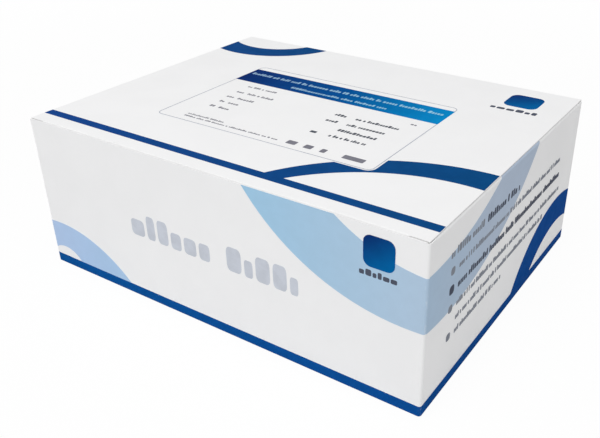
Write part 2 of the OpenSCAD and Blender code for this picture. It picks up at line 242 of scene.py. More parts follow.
def printed_ink(name, tones, start, end, mottling=0.1, halftone=0.0):
    """Ink whose tone runs through the given swatches from one point of the piece to another."""
    finish, tree, place = new_finish(name)
    run = Vector(end) - Vector(start)
    from_start = reckon_vector(tree, "SUBTRACT", place, start)
    share = reckon_vector(tree, "DOT_PRODUCT", from_start, run / run.length_squared)
    ramp = wire(tree, "ShaderNodeValToRGB", {"Fac": share}, "Color")
    stops = ramp.node.color_ramp.elements
    for number in range(1, len(tones) - 1):
        stops.new(number / (len(tones) - 1))
    for stop, tone in zip(stops, tones):
        stop.color = tone
    mottle = noise(tree, place, 160, 4, 0.6)
    deep = reckon_vector(tree, "MULTIPLY", ramp, [1 - mottling] * 3)
    colour = mix(tree, blotches(tree, mottle), ramp, deep)
    dots = wire(tree, "ShaderNodeTexVoronoi", {
        "Vector": place, "Scale": 3800.0, "Randomness": 0.15}, "Distance")
    paper_and_highlight_white = (1, 1, 1, 1)
    colour = mix(tree, rise(tree, dots, 0.25, 0.6, 0.0, halftone), colour, paper_and_highlight_white)
    # Painted highlight and rubbed ink: the print is whitened by up to 0.3 where it runs round an upright
    # fold
    colour = mix(tree, reckon(tree, "MULTIPLY", fold_highlight_and_rub(tree, place), 0.3), colour, paper_and_highlight_white)
    roughness = blotches(tree, mottle, 0.38, 0.46)
    shade(tree, colour, roughness, bump(tree, mottle, 0.06, 0.03 * MM), specular_ior_level=0.001)
    return finish


front_left, rear_right = (-half_l, -half_w, 0), (half_l, half_w, 0)
dark_tones = [ink(15, 85, 155), ink(15, 75, 150)]
dress("wall_bands_dark", printed_ink("dark_band_ink", dark_tones, front_left, rear_right))
pale_tones = [ink(175, 200, 235), ink(155, 200, 230), ink(185, 200, 220)]
pale_end = (0.5 * half_l, 0.5 * half_w, 0)
dress("wall_bands_pale", printed_ink("pale_band_ink", pale_tones, front_left, pale_end, 0.03, 0.05))


# Bands on the lid
# The same dark blue as on the walls, printed flat under the varnish: a stripe along the front and two
# arcs that end short of the trim.
lid_tones = [ink(25, 70, 140), ink(15, 75, 130)]
tones_from, tones_to = (-half_l, -0.069, 0), (0.135 - half_l, 0.066, 0)
dress("lid_bands", printed_ink("lid_band_ink", lid_tones, tones_from, tones_to))


# Label
# Printed on the lid: a hairline frame with round corners, and a header bar that runs from navy at the
# left to a lighter blue at the right.
header_low, header_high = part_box("label_header")
header_tones = [ink(15, 45, 110), ink(5, 80, 150), ink(10, 140, 205)]
header_end = (header_high.x, header_low.y, header_low.z)
dress("label_header", printed_ink("header_ink", header_tones, header_low, header_end))


def plain_ink(name, tone):
    """Ink of one tone all over."""
    return printed_ink(name, [tone, tone], (0, 0, 0), (0.1, 0, 0))


dress("label_border", plain_ink("hairline_ink", ink(180, 185, 195)))


# Lines of print
# Rows of small plain blocks in greys and pale blues, set in groups of uneven length. All of them are
# printed ink, too thin to feel.
ink_t = 0.03 * MM
# How thick the printed fields of the CAD model are: print that crosses one lies on it or stands over it
skin_t = 0.06 * MM
# How wide blocks and gaps are against each other, before a row is fitted to its length
narrow, broad, small_gap, added_gap = 0.4, 0.8, 0.16, 0.5
# The lower blocks' height, and which shares of the blocks are tall or have a wide gap after them
low_height, tall_share, wide_gap_share = 0.7, 0.35, 0.18


def tree_with(name, sockets):
    """A node tree for a modifier, with named inputs, and the outputs of its Group Input node."""
    tree = bpy.data.node_groups.new(name, "GeometryNodeTree")
    for label, kind, value in sockets:
        socket = tree.interface.new_socket(label, in_out="INPUT", socket_type="NodeSocket" + kind)
        if value is not None:
            socket.default_value = value
    tree.interface.new_socket("Geometry", in_out="OUTPUT", socket_type="NodeSocketGeometry")
    return tree, tree.nodes.new("NodeGroupInput").outputs


def between(tree, low, high, seed):
    inputs = {"Min": low, "Max": high, "Seed": seed}
    return wire(tree, "FunctionNodeRandomValue", inputs, data_type="FLOAT")


def chance(tree, share, seed):
    inputs = {"Probability": share, "Seed": seed}
    return wire(tree, "FunctionNodeRandomValue", inputs, data_type="BOOLEAN")


def type_block(tree):
    """A closed block, one unit wide and high, with round corners, standing one unit on the paper."""
    outline = wire(tree, "GeometryNodeCurvePrimitiveQuadrilateral", {"Width": 1.0, "Height": 1.0})
    rounding = {"Curve": outline, "Count": 3, "Radius": 0.24}
    outline = wire(tree, "GeometryNodeFilletCurve", rounding, mode="POLY")
    face = wire(tree, "GeometryNodeFillCurve", {"Curve": outline}, mode="NGONS")
    up = wire(tree, "ShaderNodeCombineXYZ", {"Z": 1.0})
    raised = wire(tree, "GeometryNodeExtrudeMesh", {"Mesh": face, "Offset": up, "Offset Scale": 1.0}, "Mesh")
    under = wire(tree, "GeometryNodeFlipFaces", {"Mesh": face})
    joined = wire(tree, "GeometryNodeJoinGeometry")
    for part in (raised, under):
        tree.links.new(part, joined.node.inputs[0])
    return wire(tree, "GeometryNodeMergeByDistance", {"Geometry": joined, "Distance": 0.001})


type_row, given = tree_with("type_row", [
    ("Blocks", "Int", 20), ("Row length", "Float", 0.05), ("Type height", "Float", 0.002),
    ("Wide gaps", "Float", wide_gap_share), ("Thickness", "Float", ink_t), ("Seed", "Int", 1),
    ("Place", "Vector", (0, 0, 0)), ("Turn", "Vector", (0, 0, 0)), ("Ink", "Material", None)])
points = wire(type_row, "GeometryNodePoints", {"Count": given["Blocks"]})
width = between(type_row, narrow, broad, reckon(type_row, "ADD", given["Seed"], 1))
wide_gap = chance(type_row, given["Wide gaps"], reckon(type_row, "ADD", given["Seed"], 2))
gap = reckon(type_row, "ADD", small_gap, reckon(type_row, "MULTIPLY", wide_gap, added_gap))
step = reckon(type_row, "ADD", width, gap)
running = wire(type_row, "GeometryNodeAccumulateField", {"Value": step}, "Trailing", data_type="FLOAT")
squeeze = reckon(type_row, "DIVIDE", given["Row length"], running.node.outputs["Total"])
wide = reckon(type_row, "MULTIPLY", width, squeeze)
tall = chance(type_row, tall_share, reckon(type_row, "ADD", given["Seed"], 3))
tall = reckon(type_row, "ADD", low_height, reckon(type_row, "MULTIPLY", tall, 1 - low_height))
tall = reckon(type_row, "MULTIPLY", tall, given["Type height"])
block_x = reckon(type_row, "MULTIPLY", running, squeeze)
block_x = reckon(type_row, "ADD", block_x, reckon(type_row, "MULTIPLY", wide, 0.5))
block_y = reckon(type_row, "MULTIPLY", tall, 0.5)
spot = wire(type_row, "ShaderNodeCombineXYZ", {"X": block_x, "Y": block_y})
points = wire(type_row, "GeometryNodeSetPosition", {"Geometry": points, "Position": spot})
size = wire(type_row, "ShaderNodeCombineXYZ", {"X": wide, "Y": tall, "Z": given["Thickness"]})
set_up = wire(type_row, "GeometryNodeInstanceOnPoints", {
    "Points": points, "Instance": type_block(type_row), "Scale": size})
set_up = wire(type_row, "GeometryNodeRealizeInstances", {"Geometry": set_up})
set_up = wire(type_row, "GeometryNodeTransform", {
    "Geometry": set_up, "Translation": given["Place"], "Rotation": given["Turn"]})
set_up = wire(type_row, "GeometryNodeSetMaterial", {"Geometry": set_up, "Material": given["Ink"]})
wire(type_row, "NodeGroupOutput", {0: set_up})


def new_object(name, data):
    """A new object, linked to the scene."""
    made = bpy.data.objects.new(name, data)
    bpy.context.scene.collection.objects.link(made)
    return made


def mesh_of(name, shape, finishes):
    """Turns a finished shape into a mesh with its materials."""
    mesh = bpy.data.meshes.new(name)
    shape.to_mesh(mesh)
    shape.free()
    for finish in finishes:
        mesh.materials.append(finish)
    return mesh


def settle(piece, modifier):
    """Makes what a modifier gives the piece's own plain mesh, and takes the modifier off."""
    evaluated = piece.evaluated_get(bpy.context.evaluated_depsgraph_get())
    result = bpy.data.meshes.new_from_object(evaluated)
    piece.modifiers.remove(modifier)
    piece.data = result


def grown(name, tree, values, start=None):
    """Runs a node tree on a mesh, or on nothing, and returns what it makes as a plain object."""
    piece = new_object(name, start or bpy.data.meshes.new(name))
    grow = piece.modifiers.new("grow", "NODES")
    grow.node_group = tree
    for socket in tree.interface.items_tree:
        if socket.in_out == "INPUT" and socket.name in values:
            grow[socket.identifier] = values[socket.name]
    settle(piece, grow)
    return piece


def joined_as(name, pieces):
    """Puts several finished pieces together as one, with the materials of them all."""
    gathered = bmesh.new()
    finishes = []
    for piece in pieces:
        first = len(gathered.faces)
        gathered.from_mesh(piece.data)
        gathered.faces.ensure_lookup_table()
        for face in gathered.faces[first:]:
            finish = piece.data.materials[face.material_index]
            if finish not in finishes:
                finishes.append(finish)
            face.material_index = finishes.index(finish)
        bpy.data.objects.remove(piece)
    return new_object(name, mesh_of(name, gathered, finishes))


# Where a point that is given in mm on a surface lies in the carton, and how that surface is turned
def on_lid(x, y, raised=0.0):
    return (x * MM - half_l, y * MM - half_w, carton_top + raised), (0, 0, 0)


def on_front_wall(x, z, raised=0.0):
    return (x * MM - half_l, -half_w - raised, z * MM), (math.pi / 2, 0, 0)


def on_right_wall(x, z, raised=0.0):
    return (half_l + raised, x * MM - half_w, z * MM), (math.pi / 2, 0, math.pi / 2)


def fix_print(name, body, pieces):
    """Makes one piece of several bits of print, and fixes it to its body."""
    piece = joined_as(name, pieces)
    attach(piece, body)


def set_type(name, body, surface, finish, runs, raised=0.0, thick=ink_t):
    """Prints rows of blocks: each run is x, base line, length, type height, blocks and seed.

    A run's measures are in mm on the surface. Only a run of ten blocks or more has wide gaps.
    """
    pieces = []
    for x, base, length, height, blocks, seed in runs:
        place, turn = surface(x, base, raised)
        pieces.append(grown(name, type_row, {
            "Blocks": blocks, "Row length": length * MM, "Type height": height * MM,
            "Wide gaps": wide_gap_share if blocks > 9 else 0.0, "Thickness": thick, "Seed": seed,
            "Place": place, "Turn": turn, "Ink": finish}))
    fix_print(name, body, pieces)


header_type_tones = [ink(150, 180, 210), ink(150, 205, 230)]
header_type = printed_ink("header_type", header_type_tones, (-0.06, 0, 0), (0.06, 0, 0))
set_type("header_lines", "lid", on_lid, header_type,
         [(51.5, 115.8, 125, 3.1, 62, 3), (85.5, 107.8, 62, 2.5, 34, 8)], skin_t)

grey_ink = plain_ink("grey_type_ink", ink(130, 130, 140))
set_type("label_lines", "lid", on_lid, grey_ink, [
    (64, 96.4, 20, 2.0, 11, 11),
    (64, 86.6, 5, 2.2, 3, 13), (71.5, 86.6, 17.5, 2.2, 10, 14),
    (64, 78.2, 5, 2.2, 3, 15), (71.5, 78.2, 11, 2.2, 6, 16),
    (65.5, 70.5, 3.4, 2.2, 2, 17), (71.5, 70.5, 7, 2.2, 4, 18),
    (65.5, 62.7, 3.4, 2.2, 2, 19), (71.5, 62.7, 7, 2.2, 4, 20),
    (64, 48.1, 24, 1.4, 18, 21), (64, 45.2, 60, 1.4, 42, 22),
    (168, 96.4, 3.6, 2.0, 2, 12)])
dark_ink = plain_ink("dark_type_ink", ink(85, 90, 100))
set_type("label_entries", "lid", on_lid, dark_ink, [
    (129, 87.0, 7, 2.7, 4, 23), (141.5, 87.0, 25, 2.7, 15, 24),
    (129, 78.4, 7, 2.7, 4, 25), (141.5, 78.4, 22, 2.7, 13, 26),
    (141.5, 70.3, 22, 2.7, 12, 27), (141.5, 62.3, 22, 2.7, 12, 28)])

light_ink = plain_ink("light_type_ink", ink(140, 145, 155))
bold_ink = plain_ink("bold_type_ink", ink(85, 90, 105))
set_type("side_lines", "carton", on_right_wall, light_ink, [
    (20, 67.4, 32.5, 3.8, 14, 51), (28.5, 59.1, 123, 2.9, 72, 52), (28.5, 40.2, 128, 2.9, 76, 53),
    (28.5, 32.8, 106, 2.9, 62, 54), (28.5, 25.5, 52, 2.9, 30, 55)], thick=skin_t + ink_t)
set_type("side_bold_lines", "carton", on_right_wall, bold_ink,
         [(55.5, 67.4, 37, 3.9, 14, 56), (28.5, 49.4, 125, 3.7, 60, 57)], thick=skin_t + ink_t)
front_ink = plain_ink("front_type_ink", ink(205, 210, 220))
set_type("front_blocks", "carton", on_front_wall, front_ink,
         [(66, 37.8, 53, 13, 6, 63), (127.5, 37.8, 42, 13, 5, 64)])


# Plain tiles
# Rounded tiles with nothing on them: one in graded blue on the front wall, one on the lid, and small
# grey ones in the label and before the lines on the side. They are printed like the rest.
def tile(surface, x, y, loop, finish, raised=0.0, thick=ink_t):
    """A thin film of ink about a place on a surface, inside a loop of points in mm."""
    film = bmesh.new()
    film.faces.new([film.verts.new((*point, 0)) for point in loop])
    top = bmesh.ops.extrude_face_region(film, geom=list(film.faces))["geom"]
    top = [part for part in top if isinstance(part, bmesh.types.BMVert)]
    bmesh.ops.translate(film, verts=top, vec=(0, 0, thick / MM))
    bmesh.ops.recalc_face_normals(film, faces=film.faces)
    place, turn = surface(x, y, raised)
    film.transform(Matrix.Translation(place) @ Euler(turn).to_matrix().to_4x4() @ Matrix.Scale(MM, 4))
    return new_object("tile", mesh_of("tile", film, [finish]))


def round_corners(width, height, corner, steps=6):
    """A rectangle about its middle, in mm, with round corners."""
    points = []
    for quarter in range(4):
        middle_x = (1, -1, -1, 1)[quarter] * (width / 2 - corner)
        middle_y = (1, 1, -1, -1)[quarter] * (height / 2 - corner)
        for step_no in range(steps + 1):
            angle = (quarter + step_no / steps) * math.pi / 2
            points.append((middle_x + corner * math.cos(angle), middle_y + corner * math.sin(angle)))
    return points


# The two blue tiles run from navy at the upper left to a lighter blue at the lower right
tile_tones = [ink(15, 45, 110), ink(5, 105, 170)]
front_tile_ink = printed_ink("front_tile_ink", tile_tones, (0.088, 0, 0.081), (0.098, 0, 0.065))
front_tile = tile(on_front_wall, 207.5, 73.3, round_corners(14.5, 14.5, 3.5), front_tile_ink, skin_t)
fix_print("front_tile", "carton", [front_tile])
lid_tile_ink = printed_ink("lid_tile_ink", tile_tones, (0.083, 0.078, 0), (0.096, 0.058, 0))
lid_tile = tile(on_lid, 204, 157.4, round_corners(18.5, 18.5, 4.4), lid_tile_ink)
fix_print("lid_tile", "lid", [lid_tile])
label_tiles = [tile(on_lid, 132.6, 63.2, round_corners(3.6, 2.2, 0.4), dark_ink)]
for x, wide_mm in ((131.6, 5.4), (141.2, 4.6), (149.6, 3.0), (166.2, 11.4)):
    label_tiles.append(tile(on_lid, x, 46.9, round_corners(wide_mm, 3.9, 0.6), grey_ink))
fix_print("label_tiles", "lid", label_tiles)
side_tiles = []
for z, size, finish in (
        (60.7, 3.8, light_ink), (51.4, 4.4, bold_ink), (41.8, 3.8, light_ink), (27.2, 3.8, light_ink)):
    loop = round_corners(size, size, 1.4)
    side_tiles.append(tile(on_right_wall, 22.6, z, loop, finish, thick=skin_t + ink_t))
fix_print("side_tiles", "carton", side_tiles)
set_type("front_tile_line", "carton", on_front_wall, bold_ink,
         [(198.5, 61.6, 18, 3.0, 6, 61)], skin_t)
set_type("lid_tile_line", "lid", on_lid, bold_ink, [(191, 141.2, 26, 3.8, 6, 62)])


# Foil pouches
# Each test lies sealed in a pouch of laminated aluminium foil. Two sheets are heat-sealed all round
# under ribbed jaws, so the belly is taut over the test and puckered where it meets the seal.
pouch_low, pouch_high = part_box("pouch_01")
pouch_l, pouch_h = pouch_high.y - pouch_low.y, pouch_high.z - pouch_low.z
seal_w = 9 * MM
foil_t, rim_w = 0.12 * MM, 0.2 * MM
slope_long, slope_high = 22 * MM, 13 * MM
pucker_depth, sway_width = 0.9 * MM, 0.9 * MM
notch_depth, notch_half_w, notched_end = 1.2 * MM, 1.6 * MM, 0.3 * MM
belly_gap = 0.5 * MM

foil_pouch, given = tree_with("foil_pouch", [
    ("Length", "Float", pouch_l), ("Height", "Float", pouch_h), ("Belly", "Float", 4 * MM),
    ("Seal", "Float", seal_w), ("Foil", "Float", foil_t), ("Pucker", "Float", pucker_depth),
    ("Notch", "Float", notch_depth), ("Sway", "Float", sway_width), ("Seed", "Float", 1.0),
    ("Place", "Vector", (0, 0, 0)), ("Material", "Material", None)])
flat = wire(foil_pouch, "GeometryNodeMeshGrid", {
    "Size X": given["Length"], "Size Y": given["Height"], "Vertices X": 81, "Vertices Y": 49}, "Mesh")
spot = wire(foil_pouch, "GeometryNodeInputPosition")
split = parts_of(foil_pouch, spot)


def belly_share(tree, along, size, slope):
    """0 at the seal's inner edge, rising to 1 over the slope."""
    edge = reckon(tree, "SUBTRACT", reckon(tree, "MULTIPLY", size, 0.5), reckon(tree, "ABSOLUTE", along))
    return rise(tree, reckon(tree, "SUBTRACT", edge, given["Seal"]), 0.0, slope)


long_share = belly_share(foil_pouch, split["X"], given["Length"], slope_long)
high_share = belly_share(foil_pouch, split["Y"], given["Height"], slope_high)
belly = reckon(foil_pouch, "MULTIPLY", long_share, high_share)


def seeded_noise(tree, vector, seed, scale, detail):
    """Noise about 0 that is another one for each seed."""
    inputs = {"Vector": vector, "W": seed, "Scale": scale, "Detail": detail}
    pattern = wire(tree, "ShaderNodeTexNoise", inputs, noise_dimensions="4D")
    return reckon(tree, "SUBTRACT", pattern, 0.5)


def pucker(tree, seed_step):
    """Folds that run out from the seals, strongest halfway up the slopes, and fine dents on the belly."""
    seed = reckon(tree, "ADD", given["Seed"], seed_step)
    folds = []
    for stretch, rising, across in (
            ((330, 45, 1), high_share, long_share), ((40, 300, 1), long_share, high_share)):
        wave = seeded_noise(tree, reckon_vector(tree, "MULTIPLY", spot, stretch), seed, 1.0, 1.5)
        fold = reckon(tree, "SUBTRACT", 0.5, reckon(tree, "ABSOLUTE", wave))
        halfway_up = reckon(tree, "MULTIPLY", rising, reckon(tree, "SUBTRACT", 1.0, rising))
        folds.append(reckon(tree, "MULTIPLY", fold, reckon(tree, "MULTIPLY", halfway_up, across)))
    fold_share, dent_share = -7.0, 0.9
    folded = reckon(tree, "MULTIPLY", reckon(tree, "ADD", *folds), fold_share)
    dented = reckon(tree, "MULTIPLY", belly, dent_share)
    dented = reckon(tree, "MULTIPLY", seeded_noise(tree, spot, seed, 120.0, 3.0), dented)
    return reckon(tree, "MULTIPLY", reckon(tree, "ADD", folded, dented), given["Pucker"])


# The rim is pinched shut, and notched for tearing just under the upper seal
half_high = reckon(foil_pouch, "MULTIPLY", given["Height"], 0.5)
half_long = reckon(foil_pouch, "MULTIPLY", given["Length"], 0.5)
out_along = reckon(foil_pouch, "ABSOLUTE", split["X"])
notch_at = reckon(foil_pouch, "SUBTRACT", half_high, given["Seal"])
off_notch = reckon(foil_pouch, "ABSOLUTE", reckon(foil_pouch, "SUBTRACT", split["Y"], notch_at))
near_notch = rise(foil_pouch, off_notch, 0.0, notch_half_w, 1.0, 0.0)
end_from = reckon(foil_pouch, "SUBTRACT", half_long, notched_end)
at_end = reckon(foil_pouch, "GREATER_THAN", out_along, end_from)
bite = reckon(foil_pouch, "MULTIPLY", reckon(foil_pouch, "MULTIPLY", near_notch, at_end), given["Notch"])
bite = reckon(foil_pouch, "MULTIPLY", bite, reckon(foil_pouch, "SIGN", split["X"]))
in_from_end = reckon(foil_pouch, "SUBTRACT", half_long, out_along)
in_from_top = reckon(foil_pouch, "SUBTRACT", half_high, reckon(foil_pouch, "ABSOLUTE", split["Y"]))
in_from_rim = reckon(foil_pouch, "MINIMUM", in_from_end, in_from_top)
off_rim = reckon(foil_pouch, "GREATER_THAN", in_from_rim, rim_w)
sway_seed = reckon(foil_pouch, "MULTIPLY", given["Seed"], 3.7)
sway = seeded_noise(foil_pouch, spot, sway_seed, 22.0, 0.5)
sway = reckon(foil_pouch, "MULTIPLY", sway, reckon(foil_pouch, "MULTIPLY", given["Sway"], 2.0))
pouch_sides = wire(foil_pouch, "GeometryNodeJoinGeometry")
for side, seed_step in ((1.0, 0.0), (-1.0, 40.0)):
    swell = reckon(foil_pouch, "MULTIPLY", belly, given["Belly"])
    swell = reckon(foil_pouch, "ADD", swell, pucker(foil_pouch, seed_step))
    swell = reckon(foil_pouch, "ADD", swell, given["Foil"])
    lift = reckon(foil_pouch, "MULTIPLY", reckon(foil_pouch, "MULTIPLY", swell, off_rim), side)
    offset = wire(foil_pouch, "ShaderNodeCombineXYZ", {
        "X": reckon(foil_pouch, "MULTIPLY", bite, -1.0), "Z": reckon(foil_pouch, "ADD", lift, sway)})
    sheet = wire(foil_pouch, "GeometryNodeSetPosition", {"Geometry": flat, "Offset": offset})
    if side < 0:
        sheet = wire(foil_pouch, "GeometryNodeFlipFaces", {"Mesh": sheet})
    foil_pouch.links.new(sheet, pouch_sides.node.inputs[0])
sealed = wire(foil_pouch, "GeometryNodeMergeByDistance", {"Geometry": pouch_sides, "Distance": 0.01 * MM})
sealed = wire(foil_pouch, "GeometryNodeSetShadeSmooth", {"Geometry": sealed, "Shade Smooth": True})
sealed = wire(foil_pouch, "GeometryNodeRealizeInstances", {"Geometry": sealed})
sealed = wire(foil_pouch, "GeometryNodeTransform", {
    "Geometry": sealed, "Translation": given["Place"], "Rotation": (math.pi / 2, 0, math.pi / 2)})
sealed = wire(foil_pouch, "GeometryNodeSetMaterial", {"Geometry": sealed, "Material": given["Material"]})
wire(foil_pouch, "NodeGroupOutput", {0: sealed})


def foil_finish():
    """Satin aluminium laminate. The seal has cross ribs from the jaws, the belly fine creases."""
    finish, tree, place = new_finish("pouch_foil")
    split = parts_of(tree, place)
    to_top = reckon(tree, "SUBTRACT", pouch_high.z, split["Z"])
    to_foot = reckon(tree, "SUBTRACT", split["Z"], pouch_low.z)
    to_front = reckon(tree, "SUBTRACT", split["Y"], pouch_low.y)
    to_rear = reckon(tree, "SUBTRACT", pouch_high.y, split["Y"])
    jaw_edge, jaw_pitch = seal_w - 0.8 * MM, 1.1 * MM
    level = rise(tree, reckon(tree, "MINIMUM", to_top, to_foot), jaw_edge, seal_w, 1.0, 0.0)
    upright = rise(tree, reckon(tree, "MINIMUM", to_front, to_rear), jaw_edge, seal_w, 1.0, 0.0)
    wave = 2 * math.pi / jaw_pitch
    ribs = reckon(tree, "MULTIPLY", reckon(tree, "SINE", reckon(tree, "MULTIPLY", split["Z"], wave)), level)
    posts = reckon(tree, "SINE", reckon(tree, "MULTIPLY", split["Y"], wave))
    posts = reckon(tree, "MULTIPLY", posts, upright)
    creases = noise(tree, place, 260, 5, 0.6)
    relief = reckon(tree, "ADD", reckon(tree, "ADD", ribs, posts), reckon(tree, "MULTIPLY", creases, 1.6))
    tone = mix(tree, blotches(tree, creases), (0.93, 0.935, 0.94, 1), (0.84, 0.85, 0.86, 1))
    roughness = blotches(tree, creases, 0.24, 0.38)
    shade(tree, tone, roughness, bump(tree, relief, 0.7, 0.14 * MM), metallic=0.7)
    return finish


foil = foil_finish()
pouches = sorted(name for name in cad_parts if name.startswith("pouch_"))
for number, node in enumerate(pouches, 1):
    low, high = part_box(node)
    pouch = grown("foil_" + node, foil_pouch, {
        "Length": pouch_l, "Height": pouch_h, "Belly": (high.x - low.x) / 2 - belly_gap,
        "Seed": number * 7.3, "Place": (low + high) / 2, "Material": foil})
    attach(pouch, "carton")
    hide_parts(node)


# Buffer tubes
# A blown tube of natural polyethylene, tapered at the foot and half full of clear buffer. Its moulded
# cap is pressed on, gripped by upright ribs, and drawn out into a short dropper nozzle.
tube_low, tube_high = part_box("buffer_tube_01")
tube_l = tube_high.z - tube_low.z
tube_r, cap_r = 4.75 * MM, 5.75 * MM
cap_foot, cap_head = tube_l - 15.6 * MM, tube_l - 6.6 * MM
tube_wall, tube_floor = 0.5 * MM, 1.0 * MM
foot_r, taper_top = tube_r - 2.35 * MM, 7.9 * MM
cap_rim = cap_foot + 0.7 * MM
nozzle_root_r, nozzle_r, nozzle_tip_r = 2.6 * MM, 1.45 * MM, 0.7 * MM
grip_depth = 0.35 * MM


def turned(shape, profile, finish_no, steps=32):
    """Turns a closed profile of radius and height about the upright axis."""
    rings = []
    for radius, height in profile:
        if radius == 0:
            rings.append([shape.verts.new((0, 0, height))])
            continue
        rings.append([shape.verts.new((radius * math.cos(turn), radius * math.sin(turn), height))
                      for turn in (2 * math.pi * number / steps for number in range(steps))])
    for lower, upper in zip(rings, rings[1:]):
        for number in range(steps):
            after = (number + 1) % steps
            around = [lower[number % len(lower)], lower[after % len(lower)],
                      upper[after % len(upper)], upper[number % len(upper)]]
            corners = list(dict.fromkeys(around))
            if len(corners) > 2:
                face = shape.faces.new(corners)
                face.material_index = finish_no
                face.smooth = True


def tube_mesh(name, fill, finishes):
    """The tube's wall, the buffer in it up to a hollow surface, and the cap with its nozzle."""
    shape = bmesh.new()
    inner = tube_r - tube_wall
    turned(shape, [
        (0, 0.5 * MM), (foot_r - 0.6 * MM, 0.4 * MM), (foot_r, 0), (foot_r + 0.3 * MM, 0.3 * MM),
        (tube_r - 0.2 * MM, taper_top - 0.9 * MM), (tube_r, taper_top), (tube_r, cap_foot),
        (inner, cap_foot), (inner, taper_top + 0.1 * MM), (foot_r, tube_floor + 0.1 * MM),
        (0, tube_floor)], 0)
    liquid = inner - 0.03 * MM
    turned(shape, [
        (0, tube_floor + 0.05 * MM), (foot_r - 0.05 * MM, tube_floor + 0.15 * MM),
        (liquid, taper_top + 0.15 * MM), (liquid, fill), (liquid - 0.4 * MM, fill - 0.45 * MM),
        (0, fill - 0.6 * MM)], 1)
    seat = cap_foot + 0.02 * MM
    skirt = cap_r - grip_depth
    turned(shape, [
        (0, seat), (cap_r, seat), (cap_r, cap_rim), (skirt, cap_rim + 0.1 * MM),
        (skirt, cap_head - 1.1 * MM), (skirt - 0.25 * MM, cap_head - 0.4 * MM),
        (skirt - 0.9 * MM, cap_head), (nozzle_root_r, cap_head),
        (nozzle_root_r - 0.25 * MM, cap_head + 0.4 * MM), (nozzle_r, tube_l - 0.9 * MM),
        (nozzle_r - 0.2 * MM, tube_l - 0.3 * MM), (nozzle_tip_r, tube_l), (0, tube_l)], 2)
    bmesh.ops.recalc_face_normals(shape, faces=shape.faces)
    return mesh_of(name, shape, finishes)


grip_ribs, given = tree_with("grip_ribs", [
    ("Geometry", "Geometry", None), ("Ribs", "Int", 30), ("Radius", "Float", cap_r),
    ("Rib", "Vector", (0.7 * MM, 0.5 * MM, 7.2 * MM)), ("Height", "Float", cap_foot),
    ("Place", "Vector", (0, 0, 0)), ("Turn", "Vector", (0, 0, 0)), ("Material", "Material", None)])
ring = wire(grip_ribs, "GeometryNodeMeshCircle", {"Vertices": given["Ribs"], "Radius": given["Radius"]})
lifted = wire(grip_ribs, "ShaderNodeCombineXYZ", {"Z": given["Height"]})
ring = wire(grip_ribs, "GeometryNodeTransform", {"Geometry": ring, "Translation": lifted})
rib = wire(grip_ribs, "GeometryNodeMeshCube", {"Size": given["Rib"]}, "Mesh")
turn = reckon(grip_ribs, "MULTIPLY", wire(grip_ribs, "GeometryNodeInputIndex"), 2 * math.pi)
turn = reckon(grip_ribs, "DIVIDE", turn, given["Ribs"])
about = wire(grip_ribs, "ShaderNodeCombineXYZ", {"Z": turn})
ribs = wire(grip_ribs, "GeometryNodeInstanceOnPoints", {"Points": ring, "Instance": rib, "Rotation": about})
ribs = wire(grip_ribs, "GeometryNodeRealizeInstances", {"Geometry": ribs})
ribs = wire(grip_ribs, "GeometryNodeSetMaterial", {"Geometry": ribs, "Material": given["Material"]})
whole = wire(grip_ribs, "GeometryNodeJoinGeometry")
for part in (ribs, given["Geometry"]):
    grip_ribs.links.new(part, whole.node.inputs[0])
whole = wire(grip_ribs, "GeometryNodeTransform", {
    "Geometry": whole, "Translation": given["Place"], "Rotation": given["Turn"]})
wire(grip_ribs, "NodeGroupOutput", {0: whole})


def moulded(name, colour, roughness, grain, **sockets):
    """Moulded or blown plastic with a faint flow grain."""
    finish, tree, place = new_finish(name)
    flow = noise(tree, place, grain, 3, 0.5, (1, 1, 0.3))
    tone = mix(tree, blotches(tree, flow, 0.0, 0.5), colour, dulled(colour, 0.94))
    rougher = blotches(tree, flow, roughness, roughness + 0.08)
    shade(tree, tone, rougher, bump(tree, flow, 0.08, 0.05 * MM), **sockets)
    return finish


natural = moulded("natural_polyethylene", (0.9, 0.94, 0.95, 1), 0.3, 350,
                  transmission_weight=0.75, ior=1.5)
buffer = moulded("clear_buffer", (0.82, 0.93, 0.98, 1), 0.02, 60,
                 transmission_weight=1.0, ior=1.33)
cap_plastic = moulded("white_cap_plastic", (0.84, 0.88, 0.9, 1), 0.36, 500,
                      subsurface_weight=0.1, subsurface_scale=2 * MM)
tubes = sorted(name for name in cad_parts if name.startswith("buffer_tube_"))
for number, node in enumerate(tubes, 1):
    low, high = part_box(node)
    fill = (22 + 3 * math.sin(number * 2.4)) * MM
    mesh = tube_mesh("dropper_" + node, fill, (natural, buffer, cap_plastic))
    tube = grown("dropper_" + node, grip_ribs, {
        "Height": (cap_foot + cap_head) / 2 - 0.1 * MM, "Radius": cap_r - 0.5 * grip_depth,
        "Material": cap_plastic, "Place": ((low.x + high.x) / 2, (low.y + high.y) / 2, low.z),
        "Turn": (0, 0, number * 1.7)}, mesh)
    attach(tube, "carton")
    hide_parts(node)


# Tube rack
# A strip of plain uncoated board, punched with a hole for each tube and folded down along both sides.
# It stands loose on the carton's bottom, behind the front wall, and keeps the tubes upright in two rows.
def bare_board():
    """Greyish white fibres with a few darker specks."""
    finish, tree, place = new_finish("plain_rack_board")
    fibres = noise(tree, place, 620, 5, 0.65, (0.3, 1, 1))
    specks = noise(tree, place, 1500, 2)
    pale_fibre, dark_fibre, speck = (0.76, 0.75, 0.72, 1), (0.68, 0.665, 0.63, 1), (0.45, 0.42, 0.38, 1)
    tone = mix(tree, blotches(tree, fibres), pale_fibre, dark_fibre)
    tone = mix(tree, rise(tree, specks, 0.68, 0.73), tone, speck)
    shade(tree, tone, blotches(tree, fibres, 0.8, 0.92), bump(tree, fibres, 0.35, 0.06 * MM))
    return finish


dress("tube_rack", bare_board())


